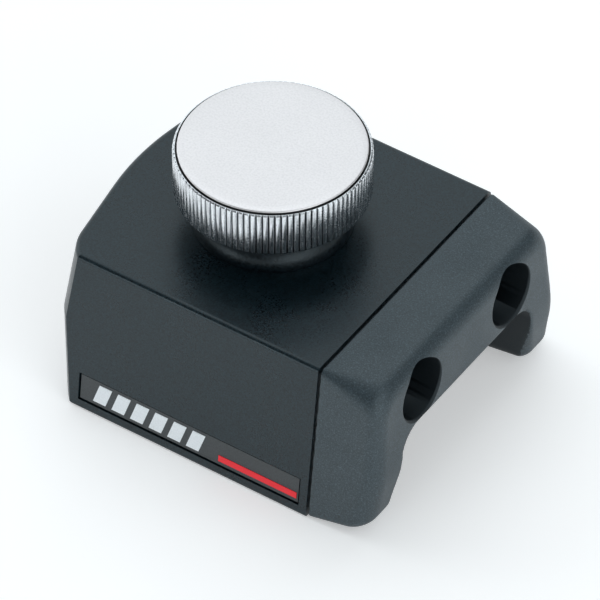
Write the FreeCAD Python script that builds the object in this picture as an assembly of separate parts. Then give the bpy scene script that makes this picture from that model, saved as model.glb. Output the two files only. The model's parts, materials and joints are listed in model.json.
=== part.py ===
"""Adjustable pin stop for a 32 mm sail-handling track.

A saddle straddles the track, with an elastomer bumper on one end and a spring-loaded plunger
through its middle. A knurled knob lifts the plunger out of the track's hole and a quarter turn
holds it up. Millimetres. +X runs along the track towards the bumper, +Z is up and the feet
stand on Z = 0. Pieces are drawn about the plunger's axis, and save() moves the origin to the
middle of the overall length.
"""
import FreeCAD, Part
import math
import os

V = FreeCAD.Vector
OVER = 1.0                   # cutting tools run this far past the faces they cut
THROUGH = 60.0               # length of tools that cut through the whole object

# Saddle block
BODY_H = 29.8                # feet to top face
TOP_HALF = 24.5              # half width at the top face
SIDE_SLOPE = 0.121           # each side spreads this much per mm of drop
SEAM_X = 25.15               # end face that carries the bumper
NOSE_TIP_X = -26.0           # nose at the top face
NOSE_FLANK = math.radians(9.2)       # each half of the nose sweeps back by this
NOSE_TIP_R = 48.0
NOSE_CORNER_DEPTH = 5.4      # width across Y of the curved corner beside each flank
NOSE_CORNER_END = math.radians(50)   # sweep where the curved corner meets the side face
NOSE_CREASE_Z = 16.8         # the nose leans out down to here, then back in
NOSE_LEAN_OUT = 0.140        # per mm, above the crease
NOSE_LEAN_IN = 0.084         # per mm, below the crease
TOP_EDGE_R = 0.9
FOOT_EDGE_R = 0.45
TOE_R = 3.5                  # rounding under the front of each foot

# Track channel
CHANNEL_HALF = 18.4
CROWN_Z = 16.5
CROWN_R = 4.5
MOUTH_R = 1.6
TRACK_TOP_Z = 14.5           # underside of the wear pad

# Bumper
END_X = 37.25                # the end's furthest point, at its crease
SEAM_GAP = 0.35
BUMPER_TOP_DROP = math.tan(math.radians(7.0))
BUMPER_SIDE_TAPER = math.tan(math.radians(2.4))
BUMPER_FOOT_RISE = math.tan(math.radians(6.4))
BUMPER_CREASE_Z = 13.0
BUMPER_CREASE_R = 3.0
BUMPER_UPPER_RAKE = math.tan(math.radians(2.0))
BUMPER_LOWER_RAKE = math.tan(math.radians(7.6))
BUMPER_SHOULDER_R = (0.9, 5.0)       # top side edges, at the seam and at the end
BUMPER_END_R = 1.9
BUMPER_FOOT_R = 1.3
WELL_R = 5.36                # wells that hold the bumper screws' heads
WELL_RIM = 0.2               # chamfer round the mouth of each well
PLATE_T = 2.0                # steel plate moulded into the bumper
PLATE_INSET = 1.2            # plate to the bumper's sides, foot and arch
PLATE_TOP_INSET = 1.9
PLATE_X1 = SEAM_X + PLATE_T

# Bumper screws, their thread inserts and the dowels beside them
SCREW_Y = 12.76
SCREW_Z = 22.3
SCREW_R = 3.0
SCREW_CLEARANCE = 0.2
SCREW_HEAD_R = 5.0
SCREW_HEAD_T = 4.0
SOCKET_AF = 4.0
SOCKET_DEPTH = 2.3
INSERT_R = 4.2
INSERT_X0 = 12.0
DOWEL_X = (17.0, 33.0)
DOWEL_Y = 23.2
DOWEL_Z = 8.0
DOWEL_R = 1.5

# Channel lining
LINER_X = (-20.0, 24.6)
LINER_Z = (2.4, 11.8)
LINER_FACE_Y = 16.3
RIB_Y = 13.8                 # tip of the rib that runs in the track's groove
RIB_TIP_Z = (8.2, 10.0)
RIB_ROOT_Z = (7.0, 11.3)
LINER_SCREW_X = (-12.0, 16.0)
LINER_SCREW_Z = 5.2
LINER_SCREW_END = 24.0
PAD_X = (-21.0, 24.6)
PAD_HALF = 13.0
PAD_SCREW_X = (-15.5, 18.0)
PAD_SCREW_Y = 5.5
PAD_SCREW_TOP = 22.5
SMALL_SCREW_R = 1.5          # countersunk screws of the liners and the pad
SMALL_HEAD_R = 2.8
SMALL_HEAD_T = 1.4
SMALL_KEY_AF = 2.0
SMALL_KEY_DEPTH = 0.9

# Plunger and its guide
PIN_R = 4.0
PIN_TIP_R = 3.8
PIN_TIP_Z = 8.5
ROD_R = 3.0
RUNNING = 0.05               # radial clearance of the pin in its bush
PIN_POINT = 0.8              # chamfer on the pin's tip
BUSH_R = 6.0
BUSH_FLANGE_R = 8.9
BORE_R = 9.0                 # saddle bore that takes the barrel's thread
BORE_Z = 19.0
STOP_Z = 20.0                # top of the bush's flange, where the plunger rests
PLUNGER_FLANGE_T = 1.2
PLUNGER_FLANGE_R = 6.3
WASHER_T = 0.8
CHAMBER_R = 6.6
BARREL_TOP_R = 8.0
WEB_HOLE_R = 3.4
SPRING_TOP_Z = 33.0
SPRING_SEAT_R = (3.5, 6.4)
WEB_Z = 33.6                 # underside of the barrel's web
LOCK_Z = 34.6                # floor of the lock chamber
LID_Z = 37.6
LID_T = 3.5
LID_HOLE_R = 3.3
SKIRT_Z = 33.0
LOCK_RING_R = 8.8
CROSS_PIN_R = 1.25
CROSS_PIN_HALF = 6.2
CROSS_PIN_Z = 36.1
SLOT_HALF = 1.55             # half width of the lid's slot for the cross pin
SPRING_WIRE_R = 0.4
SPRING_MEAN_R = 5.0
SPRING_TURNS = 4.6
SPRING_GAP = 0.02            # between the coil's ends and what they press on

# Collar and knob
COLLAR_R = 13.0
COLLAR_TOP_Z = 33.8
COLLAR_INNER_R = 9.0
COLLAR_ROLL = 2.6            # radius of the rolled shoulder
COLLAR_LEAN = 0.4
FLANGE_R = 11.5
FLANGE_T = 1.5
SEAL_R = 10.2
SEAL_GROOVE = 0.5            # half width of the seal's groove
SEAL_WIRE_R = 0.49
KNOB_R = 15.84
KNOB_Z = 36.4
KNOB_TOP_Z = 45.2
KNOB_TEETH = 100
KNURL_DEPTH = 0.35
KNURL_CREST = 0.5            # share of each tooth's pitch that stands at full radius
DISC_R = 15.05
RECESS_R = 15.35
DISC_T = 0.8
DISC_EDGE = 0.25
KNOB_CHAMFER = 0.45
KNOB_SCREW_R = 2.0
KNOB_SCREW_END = 38.2
KNOB_HEAD_R = 3.9
KNOB_KEY_AF = 2.5
KNOB_KEY_DEPTH = 1.6
CAVITY_R = 9.2
CAVITY_TOP_Z = 42.3

# Label strips, let into both sides
STRIP_X = (-18.8, 23.7)
STRIP_Z = (1.75, 7.15)
STRIP_DEPTH = 0.9
STRIP_T = 0.7
STRIP_GAP = 0.3
MARKS = 6
MARK_W = 2.4
MARK_PITCH = 3.6
MARK_X0 = -16.0
MARK_Y = (2.7, 6.3)
MARK_SLANT = 1.1
MARK_T = 0.1
STRIPE_X = (8.2, 23.1)
STRIPE_Y = (2.75, 3.9)


# ---------------------------------------------------------------- helpers
def cyl(r, z0, z1, x=0.0, y=0.0):
    return Part.makeCylinder(r, z1 - z0, V(x, y, z0))


def cyl_x(r, x0, x1, y, z):
    return Part.makeCylinder(r, x1 - x0, V(x0, y, z), V(1, 0, 0))


def tube(r_out, r_in, z0, z1):
    return cyl(r_out, z0, z1).cut(cyl(r_in, z0 - OVER, z1 + OVER))


def block(x0, x1, y0, y1, z0, z1):
    return Part.makeBox(x1 - x0, y1 - y0, z1 - z0, V(x0, y0, z0))


def both_sides(shape):
    """The shape and its mirror image across the track's centre plane."""
    return [shape, shape.mirror(V(0, 0, 0), V(0, 1, 0))]


def revolve(points):
    """Solid of revolution about the plunger's axis from (r, z) points."""
    wire = Part.makePolygon([V(r, 0, z) for r, z in points + points[:1]])
    return Part.Face(wire).revolve(V(0, 0, 0), V(0, 0, 1), 360)


def edges_at_z(shape, z):
    """Level edges at height z, apart from those on the seam face."""
    found = []
    for edge in shape.Edges:
        level = all(abs(v.Z - z) < 1e-4 for v in edge.Vertexes)
        on_seam = all(abs(v.X - SEAM_X) < 1e-4 for v in edge.Vertexes)
        if level and not on_seam:
            found.append(edge)
    return found


def save(name, shape):
    """Write one node, with the origin under the middle of the overall length."""
    solids = shape if isinstance(shape, list) else [shape]
    solids = [s for item in solids for s in item.Solids]
    middle = (END_X + NOSE_TIP_X - nose_shift(NOSE_CREASE_Z)) / 2
    out = solids[0] if len(solids) == 1 else Part.makeCompound(solids)
    out = out.copy()
    out.translate(V(-middle, 0, 0))
    if not out.isValid():
        print("invalid shape:", name)
    out.exportStep("parts/%s.step" % name)


# ---------------------------------------------------------------- saddle
def half_width(z):
    return TOP_HALF + (BODY_H - z) * SIDE_SLOPE


def nose_shift(z):
    """How far the nose stands out at height z, compared with the top face."""
    out = NOSE_LEAN_OUT * (BODY_H - max(z, NOSE_CREASE_Z))
    return out - NOSE_LEAN_IN * max(0.0, NOSE_CREASE_Z - z)


def plan_wire(z):
    """Outline of the saddle block at height z."""
    along = V(math.sin(NOSE_FLANK), -math.cos(NOSE_FLANK), 0)
    outward = V(-math.cos(NOSE_FLANK), -math.sin(NOSE_FLANK), 0)
    tip = NOSE_TIP_X - nose_shift(z)
    width = half_width(z)
    tip_end = V(tip + NOSE_TIP_R, 0, 0) + outward * NOSE_TIP_R
    run = (width - NOSE_CORNER_DEPTH + tip_end.y) / math.cos(NOSE_FLANK)
    arc_start = tip_end + along * run
    radius = NOSE_CORNER_DEPTH / (math.sin(NOSE_CORNER_END) - math.sin(NOSE_FLANK))
    centre = arc_start - outward * radius

    def on_corner(sweep):
        return centre + V(-math.cos(sweep), -math.sin(sweep), 0) * radius

    near = [V(SEAM_X, -width, 0), on_corner(NOSE_CORNER_END),
            on_corner((NOSE_CORNER_END + NOSE_FLANK) / 2), arc_start, tip_end]
    near = [p + V(0, 0, z) for p in near]
    far = [V(p.x, -p.y, p.z) for p in near]
    edges = [
        Part.LineSegment(near[0], near[1]).toShape(),
        Part.Arc(near[1], near[2], near[3]).toShape(),
        Part.LineSegment(near[3], near[4]).toShape(),
        Part.Arc(near[4], V(tip, 0, z), far[4]).toShape(),
        Part.LineSegment(far[4], far[3]).toShape(),
        Part.Arc(far[3], far[2], far[1]).toShape(),
        Part.LineSegment(far[1], far[0]).toShape(),
        Part.LineSegment(far[0], near[0]).toShape(),
    ]
    return Part.Wire(edges)


def channel(x0, x1, grow=0.0):
    """Tool that cuts the arched track channel from x0 to x1."""
    half = CHANNEL_HALF - grow
    crown = CROWN_Z - grow
    lower = -OVER
    c, m = CROWN_R * (1 - math.sqrt(0.5)), MOUTH_R * (1 - math.sqrt(0.5))

    def side(sign):
        return [V(x0, sign * y, z) for y, z in (
            (half + MOUTH_R, lower), (half + MOUTH_R, 0), (half + m, m), (half, MOUTH_R),
            (half, crown - CROWN_R), (half - c, crown - c), (half - CROWN_R, crown))]

    a, b = side(-1), side(1)
    edges = [
        Part.LineSegment(a[0], a[1]).toShape(),
        Part.Arc(a[1], a[2], a[3]).toShape(),
        Part.LineSegment(a[3], a[4]).toShape(),
        Part.Arc(a[4], a[5], a[6]).toShape(),
        Part.LineSegment(a[6], b[6]).toShape(),
        Part.Arc(b[6], b[5], b[4]).toShape(),
        Part.LineSegment(b[4], b[3]).toShape(),
        Part.Arc(b[3], b[2], b[1]).toShape(),
        Part.LineSegment(b[1], b[0]).toShape(),
        Part.LineSegment(b[0], a[0]).toShape(),
    ]
    return Part.Face(Part.Wire(edges)).extrude(V(x1 - x0, 0, 0))


def toe_cutters():
    """Tools that round the front underside of each foot along the nose's flank."""
    lean = math.atan(NOSE_LEAN_IN * math.cos(NOSE_FLANK))
    tip = NOSE_TIP_X - nose_shift(0)
    outward = V(-math.cos(NOSE_FLANK), -math.sin(NOSE_FLANK), 0)
    start = V(tip + NOSE_TIP_R, 0, 0) + outward * NOSE_TIP_R
    along = V(math.sin(NOSE_FLANK), -math.cos(NOSE_FLANK), 0)
    inset = TOE_R * math.tan((math.pi / 2 + lean) / 2)
    axis_at = start - outward * inset + V(0, 0, TOE_R)
    stock = Part.makeBox(4 * TOE_R, THROUGH, TOE_R)
    turn = FreeCAD.Rotation(V(0, 0, 1), 180 + math.degrees(NOSE_FLANK))
    stock.Placement = FreeCAD.Placement(V(axis_at.x, axis_at.y, 0), turn)
    round_bar = Part.makeCylinder(TOE_R, THROUGH, axis_at, along)
    return both_sides(stock.cut(round_bar))


def strip_frame(shape):
    """Lay a shape drawn flat (X along, Y up the slope, Z out) on the near side face."""
    slope = math.atan(SIDE_SLOPE)
    turn = FreeCAD.Rotation(V(1, 0, 0), 90 - math.degrees(slope))
    placed = shape.copy()
    placed.Placement = FreeCAD.Placement(V(0, -half_width(0), 0), turn)
    return placed


def strip_blank(inset, depth0, depth1):
    """Flat rectangle of the label strip, between two depths below the face."""
    x0, x1 = STRIP_X[0] + inset, STRIP_X[1] - inset
    y0, y1 = STRIP_Z[0] + inset, STRIP_Z[1] - inset
    return block(x0, x1, y0, y1, -depth1, -depth0)


def body_block():
    sections = [plan_wire(z) for z in (0.0, NOSE_CREASE_Z, BODY_H)]
    body = Part.makeLoft(sections, True, True)
    body = body.makeFillet(TOP_EDGE_R, edges_at_z(body, BODY_H))
    body = body.makeFillet(FOOT_EDGE_R, edges_at_z(body, 0.0))
    tools = [channel(-THROUGH, THROUGH)]
    tools += toe_cutters()
    tools += [cyl(BORE_R, BORE_Z, BODY_H + OVER), cyl(BUSH_R, CROWN_Z - OVER, BORE_Z + OVER)]
    tools += both_sides(cyl_x(INSERT_R, INSERT_X0, SEAM_X + OVER, -SCREW_Y, SCREW_Z))
    tools += both_sides(cyl_x(DOWEL_R, DOWEL_X[0], SEAM_X + OVER, -DOWEL_Y, DOWEL_Z))
    tools += both_sides(strip_frame(strip_blank(0.0, -OVER, STRIP_DEPTH)))
    tools += liner_shanks()
    tools += pad_shanks()
    for tool in tools:
        body = body.cut(tool)
    return body


# ---------------------------------------------------------------- bumper and its fixings
def bumper_section(x):
    """Outline of the bumper across the track at x, before its end is rounded."""
    run = x - SEAM_X
    foot = run * BUMPER_FOOT_RISE
    top = BODY_H - run * BUMPER_TOP_DROP
    r0, r1 = BUMPER_SHOULDER_R
    radius = r0 + (r1 - r0) * run / (END_X - SEAM_X)
    lean = math.atan(SIDE_SLOPE)

    def side(z):
        return half_width(z) - run * BUMPER_SIDE_TAPER

    centre_z = top - radius
    centre_y = side(centre_z) - radius / math.cos(lean)
    half = []
    for angle in (lean, (lean + math.pi / 2) / 2, math.pi / 2):
        half.append((centre_y + radius * math.cos(angle), centre_z + radius * math.sin(angle)))
    points = [(side(foot), foot)] + half
    near = [V(x, -y, z) for y, z in points]
    far = [V(x, y, z) for y, z in points]
    edges = [
        Part.LineSegment(near[0], near[1]).toShape(),
        Part.Arc(near[1], near[2], near[3]).toShape(),
        Part.LineSegment(near[3], far[3]).toShape(),
        Part.Arc(far[3], far[2], far[1]).toShape(),
        Part.LineSegment(far[1], far[0]).toShape(),
        Part.LineSegment(far[0], near[0]).toShape(),
    ]
    return Part.Wire(edges)


def rake_cutter():
    """Tool that slopes the bumper's end back above and below its crease."""
    low, high = -OVER, BODY_H
    rim = [V(x, -THROUGH, z) for x, z in (
        (END_X, BUMPER_CREASE_Z), (END_X - (high - BUMPER_CREASE_Z) * BUMPER_UPPER_RAKE, high),
        (END_X + OVER, high), (END_X + OVER, low),
        (END_X - (BUMPER_CREASE_Z - low) * BUMPER_LOWER_RAKE, low))]
    return Part.Face(Part.makePolygon(rim + rim[:1])).extrude(V(0, 2 * THROUGH, 0))


def crease_edges(solid):
    """Edges that run across the track at the level of the bumper's crease."""
    found = []
    for edge in solid.Edges:
        box = edge.BoundBox
        if abs(box.Center.z - BUMPER_CREASE_Z) < 1 and box.YLength > CHANNEL_HALF:
            found.append(edge)
    return found


def end_edges(solid):
    """Outer edges of the bumper's end."""
    across = [e.hashCode() for e in crease_edges(solid)]
    return [e for e in solid.Edges
            if e.hashCode() not in across and all(v.X > END_X - 3 for v in e.Vertexes)]


def foot_edges(solid):
    """Long lower edges of the bumper's sides."""
    return [e for e in solid.Edges
            if e.BoundBox.ZMax < BUMPER_CREASE_Z / 2 and e.BoundBox.XLength > 5]


def bumper():
    x0 = SEAM_X + SEAM_GAP
    pad = Part.makeLoft([bumper_section(x0), bumper_section(END_X)], True, True)
    pad = pad.cut(rake_cutter())
    pad = pad.makeFillet(BUMPER_CREASE_R, crease_edges(pad))
    pad = pad.makeFillet(BUMPER_END_R, end_edges(pad))
    pad = pad.makeFillet(BUMPER_FOOT_R, foot_edges(pad))
    mouth = END_X - (SCREW_Z - BUMPER_CREASE_Z) * BUMPER_UPPER_RAKE
    rim = Part.makeCone(WELL_R - OVER, WELL_R + OVER, 2 * OVER,
                        V(mouth - WELL_RIM - OVER, -SCREW_Y, SCREW_Z), V(1, 0, 0))
    tools = [channel(x0 - OVER, END_X + OVER), bumper_plate_blank()]
    tools += both_sides(cyl_x(WELL_R, SEAM_X, END_X + OVER, -SCREW_Y, SCREW_Z))
    tools += both_sides(rim)
    tools += both_sides(cyl_x(DOWEL_R, SEAM_X, DOWEL_X[1], -DOWEL_Y, DOWEL_Z))
    for tool in tools:
        pad = pad.cut(tool)
    return pad


def bumper_plate_blank():
    """Arched plate, inset from the saddle's outline all round."""
    low, high = PLATE_INSET, BODY_H - PLATE_TOP_INSET
    ring = [V(SEAM_X, s * (half_width(z) - PLATE_INSET), z)
            for s, z in ((-1, low), (1, low), (1, high), (-1, high))]
    plate = Part.Face(Part.makePolygon(ring + ring[:1])).extrude(V(PLATE_T, 0, 0))
    return plate.cut(channel(SEAM_X - OVER, PLATE_X1 + OVER, -PLATE_INSET))


def bumper_plate():
    plate = bumper_plate_blank()
    x0, x1 = SEAM_X - OVER, PLATE_X1 + OVER
    holes = both_sides(cyl_x(SCREW_R + SCREW_CLEARANCE, x0, x1, -SCREW_Y, SCREW_Z))
    holes += both_sides(cyl_x(DOWEL_R, x0, x1, -DOWEL_Y, DOWEL_Z))
    for hole in holes:
        plate = plate.cut(hole)
    return plate


def hexagon(across_flats, start, length, direction):
    """Hexagonal bar for a key socket."""
    corner = across_flats / math.sqrt(3)
    angles = [math.pi / 3 * i for i in range(6)]
    ring = [V(corner * math.cos(a), corner * math.sin(a), 0) for a in angles]
    bar = Part.Face(Part.makePolygon(ring + ring[:1])).extrude(V(0, 0, length))
    bar.Placement = FreeCAD.Placement(start, FreeCAD.Rotation(V(0, 0, 1), direction))
    return bar


def bumper_screw():
    head_end = PLATE_X1 + SCREW_HEAD_T
    shank = cyl_x(SCREW_R, INSERT_X0 + 1.0, PLATE_X1, -SCREW_Y, SCREW_Z)
    head = cyl_x(SCREW_HEAD_R, PLATE_X1, head_end, -SCREW_Y, SCREW_Z)
    floor = V(head_end - SOCKET_DEPTH, -SCREW_Y, SCREW_Z)
    socket = hexagon(SOCKET_AF, floor, SOCKET_DEPTH + OVER, V(1, 0, 0))
    return shank.fuse(head).removeSplitter().cut(socket)


def thread_insert():
    bar = cyl_x(INSERT_R, INSERT_X0, SEAM_X, -SCREW_Y, SCREW_Z)
    return bar.cut(cyl_x(SCREW_R, INSERT_X0 - OVER, SEAM_X + OVER, -SCREW_Y, SCREW_Z))


# ---------------------------------------------------------------- channel lining
def small_screw(base, length, direction):
    """Countersunk screw whose head's face is at base, pointing along direction."""
    head = Part.makeCone(SMALL_HEAD_R, SMALL_SCREW_R, SMALL_HEAD_T, base, direction)
    return head.fuse(Part.makeCylinder(SMALL_SCREW_R, length, base, direction))


def small_socket(base, direction):
    return hexagon(SMALL_KEY_AF, base - direction * OVER, SMALL_KEY_DEPTH + OVER, direction)


def liner_screw_blanks():
    """Liner screws of the near side, without their sockets."""
    length = LINER_SCREW_END - LINER_FACE_Y
    return [small_screw(V(x, -LINER_FACE_Y, LINER_SCREW_Z), length, V(0, -1, 0))
            for x in LINER_SCREW_X]


def liner_screws():
    screws = []
    for x, blank in zip(LINER_SCREW_X, liner_screw_blanks()):
        socket = small_socket(V(x, -LINER_FACE_Y, LINER_SCREW_Z), V(0, -1, 0))
        screws += both_sides(blank.cut(socket))
    return screws


def liner_shanks():
    """Holes for the liner screws in the saddle's walls."""
    start = CHANNEL_HALF - OVER
    length = LINER_SCREW_END - start
    holes = []
    for x in LINER_SCREW_X:
        base = V(x, -start, LINER_SCREW_Z)
        holes += both_sides(Part.makeCylinder(SMALL_SCREW_R, length, base, V(0, -1, 0)))
    return holes


def slide_liner():
    """Low-friction strip on one wall of the channel, with a rib for the track's groove."""
    rim = [(CHANNEL_HALF, LINER_Z[0]), (LINER_FACE_Y, LINER_Z[0]), (LINER_FACE_Y, RIB_ROOT_Z[0]),
           (RIB_Y, RIB_TIP_Z[0]), (RIB_Y, RIB_TIP_Z[1]), (LINER_FACE_Y, RIB_ROOT_Z[1]),
           (LINER_FACE_Y, LINER_Z[1]), (CHANNEL_HALF, LINER_Z[1])]
    ring = [V(LINER_X[0], -y, z) for y, z in rim]
    liner = Part.Face(Part.makePolygon(ring + ring[:1])).extrude(V(LINER_X[1] - LINER_X[0], 0, 0))
    for screw in liner_screw_blanks():
        liner = liner.cut(screw)
    return liner


def pad_screw_bases():
    return [V(x, s * PAD_SCREW_Y, TRACK_TOP_Z) for x in PAD_SCREW_X for s in (-1, 1)]


def pad_shanks():
    """Holes for the wear pad's screws in the saddle's crown."""
    return [cyl(SMALL_SCREW_R, base.z, PAD_SCREW_TOP, base.x, base.y)
            for base in pad_screw_bases()]


def pad_screws():
    up = V(0, 0, 1)
    return [small_screw(base, PAD_SCREW_TOP - TRACK_TOP_Z, up).cut(small_socket(base, up))
            for base in pad_screw_bases()]


def wear_pad():
    pad = block(PAD_X[0], PAD_X[1], -PAD_HALF, PAD_HALF, TRACK_TOP_Z, CROWN_Z)
    pad = pad.cut(cyl(BUSH_R, TRACK_TOP_Z - OVER, CROWN_Z + OVER))
    for base in pad_screw_bases():
        pad = pad.cut(small_screw(base, PAD_SCREW_TOP - TRACK_TOP_Z, V(0, 0, 1)))
    return pad


# ---------------------------------------------------------------- plunger mechanism
def guide_bush():
    bush = cyl(BUSH_R, TRACK_TOP_Z, BORE_Z).fuse(cyl(BUSH_FLANGE_R, BORE_Z, STOP_Z))
    return bush.removeSplitter().cut(cyl(PIN_R + RUNNING, TRACK_TOP_Z - OVER, STOP_Z + OVER))


def barrel():
    """Threaded sleeve: spring chamber below the web, lock chamber above it."""
    sleeve = cyl(BORE_R, STOP_Z, BODY_H).fuse(cyl(FLANGE_R, BODY_H, BODY_H + FLANGE_T))
    sleeve = sleeve.fuse(cyl(BARREL_TOP_R, BODY_H, LID_Z)).removeSplitter()
    groove = tube(SEAL_R + SEAL_GROOVE, SEAL_R - SEAL_GROOVE, BODY_H - OVER,
                  BODY_H + 2 * SEAL_GROOVE)
    tools = [cyl(CHAMBER_R, STOP_Z - OVER, WEB_Z), cyl(CHAMBER_R, LOCK_Z, LID_Z + OVER),
             cyl(WEB_HOLE_R, WEB_Z - OVER, LOCK_Z + OVER), groove]
    for tool in tools:
        sleeve = sleeve.cut(tool)
    return sleeve


def flange_seal():
    return Part.makeTorus(SEAL_R, SEAL_WIRE_R, V(0, 0, BODY_H + SEAL_GROOVE))


def lock_ring():
    """Slotted lid screwed over the barrel: the cross pin passes only along the slot."""
    top = LID_Z + LID_T
    lid = cyl(LOCK_RING_R, SKIRT_Z, top).cut(cyl(BARREL_TOP_R, SKIRT_Z - OVER, LID_Z))
    slot = block(-SLOT_HALF, SLOT_HALF, -CHAMBER_R, CHAMBER_R, LID_Z - OVER, top + OVER)
    return lid.cut(cyl(LID_HOLE_R, LID_Z - OVER, top + OVER)).cut(slot)


def collar():
    """Moulded boot round the barrel, with a rolled shoulder."""
    rim = COLLAR_R - COLLAR_LEAN
    roll = COLLAR_ROLL * (1 - math.sqrt(0.5))
    foot = [V(COLLAR_INNER_R, 0, BODY_H), V(COLLAR_R, 0, BODY_H),
            V(rim, 0, COLLAR_TOP_Z - COLLAR_ROLL)]
    shoulder = V(rim - roll, 0, COLLAR_TOP_Z - roll)
    crest = V(rim - COLLAR_ROLL, 0, COLLAR_TOP_Z)
    inner = V(COLLAR_INNER_R, 0, COLLAR_TOP_Z)
    edges = [
        Part.LineSegment(foot[0], foot[1]).toShape(),
        Part.LineSegment(foot[1], foot[2]).toShape(),
        Part.Arc(foot[2], shoulder, crest).toShape(),
        Part.LineSegment(crest, inner).toShape(),
        Part.LineSegment(inner, foot[0]).toShape(),
    ]
    boot = Part.Face(Part.Wire(edges)).revolve(V(0, 0, 0), V(0, 0, 1), 360)
    return Part.makeSolid(boot).cut(cyl(FLANGE_R, BODY_H - OVER, BODY_H + FLANGE_T))


def spring():
    """Compression spring, wound at its rest length."""
    low = STOP_Z + PLUNGER_FLANGE_T + WASHER_T + SPRING_WIRE_R + SPRING_GAP
    high = SPRING_TOP_Z - SPRING_WIRE_R - SPRING_GAP
    pitch = (high - low) / SPRING_TURNS
    helix = Part.makeHelix(pitch, high - low, SPRING_MEAN_R)
    start = Part.Circle(V(SPRING_MEAN_R, 0, 0), V(0, 2 * math.pi * SPRING_MEAN_R, pitch),
                        SPRING_WIRE_R).toShape()
    coil = Part.Wire(helix.Edges).makePipeShell([Part.Wire([start])], True, True)
    coil.translate(V(0, 0, low))
    return coil


def plunger_pin():
    """Locking pin, its flange and the rod up to the knob, turned in one piece."""
    flange_top = STOP_Z + PLUNGER_FLANGE_T
    shoulder = PIN_R - PIN_TIP_R
    profile = [(0, PIN_TIP_Z), (PIN_TIP_R - PIN_POINT, PIN_TIP_Z), (PIN_TIP_R, PIN_TIP_Z + PIN_POINT),
               (PIN_TIP_R, TRACK_TOP_Z - shoulder), (PIN_R, TRACK_TOP_Z), (PIN_R, STOP_Z),
               (PLUNGER_FLANGE_R, STOP_Z), (PLUNGER_FLANGE_R, flange_top), (ROD_R, flange_top),
               (ROD_R, CAVITY_TOP_Z), (0, CAVITY_TOP_Z)]
    pin = Part.makeSolid(revolve(profile))
    return pin.cut(cyl(KNOB_SCREW_R, KNOB_SCREW_END, CAVITY_TOP_Z + OVER)).cut(cross_pin())


def cross_pin():
    base = V(0, -CROSS_PIN_HALF, CROSS_PIN_Z)
    return Part.makeCylinder(CROSS_PIN_R, 2 * CROSS_PIN_HALF, base, V(0, 1, 0))


# ---------------------------------------------------------------- knob
def knurled_bar():
    """Bar of the knob's height with straight knurling round it."""
    profile = [(0.0, KNOB_R), (KNURL_CREST, KNOB_R), ((1 + KNURL_CREST) / 2, KNOB_R - KNURL_DEPTH)]
    ring = []
    for i in range(KNOB_TEETH):
        for share, r in profile:
            angle = 2 * math.pi * (i + share) / KNOB_TEETH
            ring.append(V(r * math.cos(angle), r * math.sin(angle), KNOB_Z))
    return Part.Face(Part.makePolygon(ring + ring[:1])).extrude(V(0, 0, KNOB_TOP_Z - KNOB_Z))


def knob_shell():
    low, high = KNOB_Z, KNOB_TOP_Z
    c = KNOB_CHAMFER
    cone = revolve([(0, low), (KNOB_R - 2 * c, low), (KNOB_R, low + 2 * c), (KNOB_R, high - c),
                    (KNOB_R - c, high), (0, high)])
    bar = knurled_bar().common(Part.makeSolid(cone))
    tools = [cyl(RECESS_R, high - DISC_T, high + OVER), cyl(CAVITY_R, low - OVER, CAVITY_TOP_Z),
             knob_screw_blank()]
    for tool in tools:
        bar = bar.cut(tool)
    return bar


def knob_screw_blank():
    seat = KNOB_TOP_Z - DISC_T
    drop = KNOB_HEAD_R - KNOB_SCREW_R
    cone = Part.makeCone(KNOB_SCREW_R, KNOB_HEAD_R, drop, V(0, 0, seat - drop))
    return cone.fuse(cyl(KNOB_SCREW_R, KNOB_SCREW_END, seat)).removeSplitter()


def knob_screw():
    floor = V(0, 0, KNOB_TOP_Z - DISC_T - KNOB_KEY_DEPTH)
    return knob_screw_blank().cut(hexagon(KNOB_KEY_AF, floor, KNOB_KEY_DEPTH + OVER, V(0, 0, 1)))


def knob_disc():
    floor, top = KNOB_TOP_Z - DISC_T, KNOB_TOP_Z
    profile = [(0, floor), (DISC_R, floor), (DISC_R, top - DISC_EDGE), (DISC_R - DISC_EDGE, top),
               (0, top)]
    return Part.makeSolid(revolve(profile))


# ---------------------------------------------------------------- label strips
def label_strip():
    return strip_frame(strip_blank(STRIP_GAP, STRIP_DEPTH - STRIP_T, STRIP_DEPTH))


def label_marks():
    """Plain slanted bars on the strip, in place of lettering."""
    top = STRIP_DEPTH - STRIP_T
    bars = []
    for i in range(MARKS):
        x = MARK_X0 + i * MARK_PITCH
        ring = [V(x, MARK_Y[0], -top), V(x + MARK_W, MARK_Y[0], -top),
                V(x + MARK_W + MARK_SLANT, MARK_Y[1], -top), V(x + MARK_SLANT, MARK_Y[1], -top)]
        bars.append(Part.Face(Part.makePolygon(ring + ring[:1])).extrude(V(0, 0, MARK_T)))
    return [s for bar in bars for s in both_sides(strip_frame(bar))]


def label_stripes():
    top = STRIP_DEPTH - STRIP_T
    stripe = block(STRIPE_X[0], STRIPE_X[1], STRIPE_Y[0], STRIPE_Y[1], -top, MARK_T - top)
    return both_sides(strip_frame(stripe))


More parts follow.
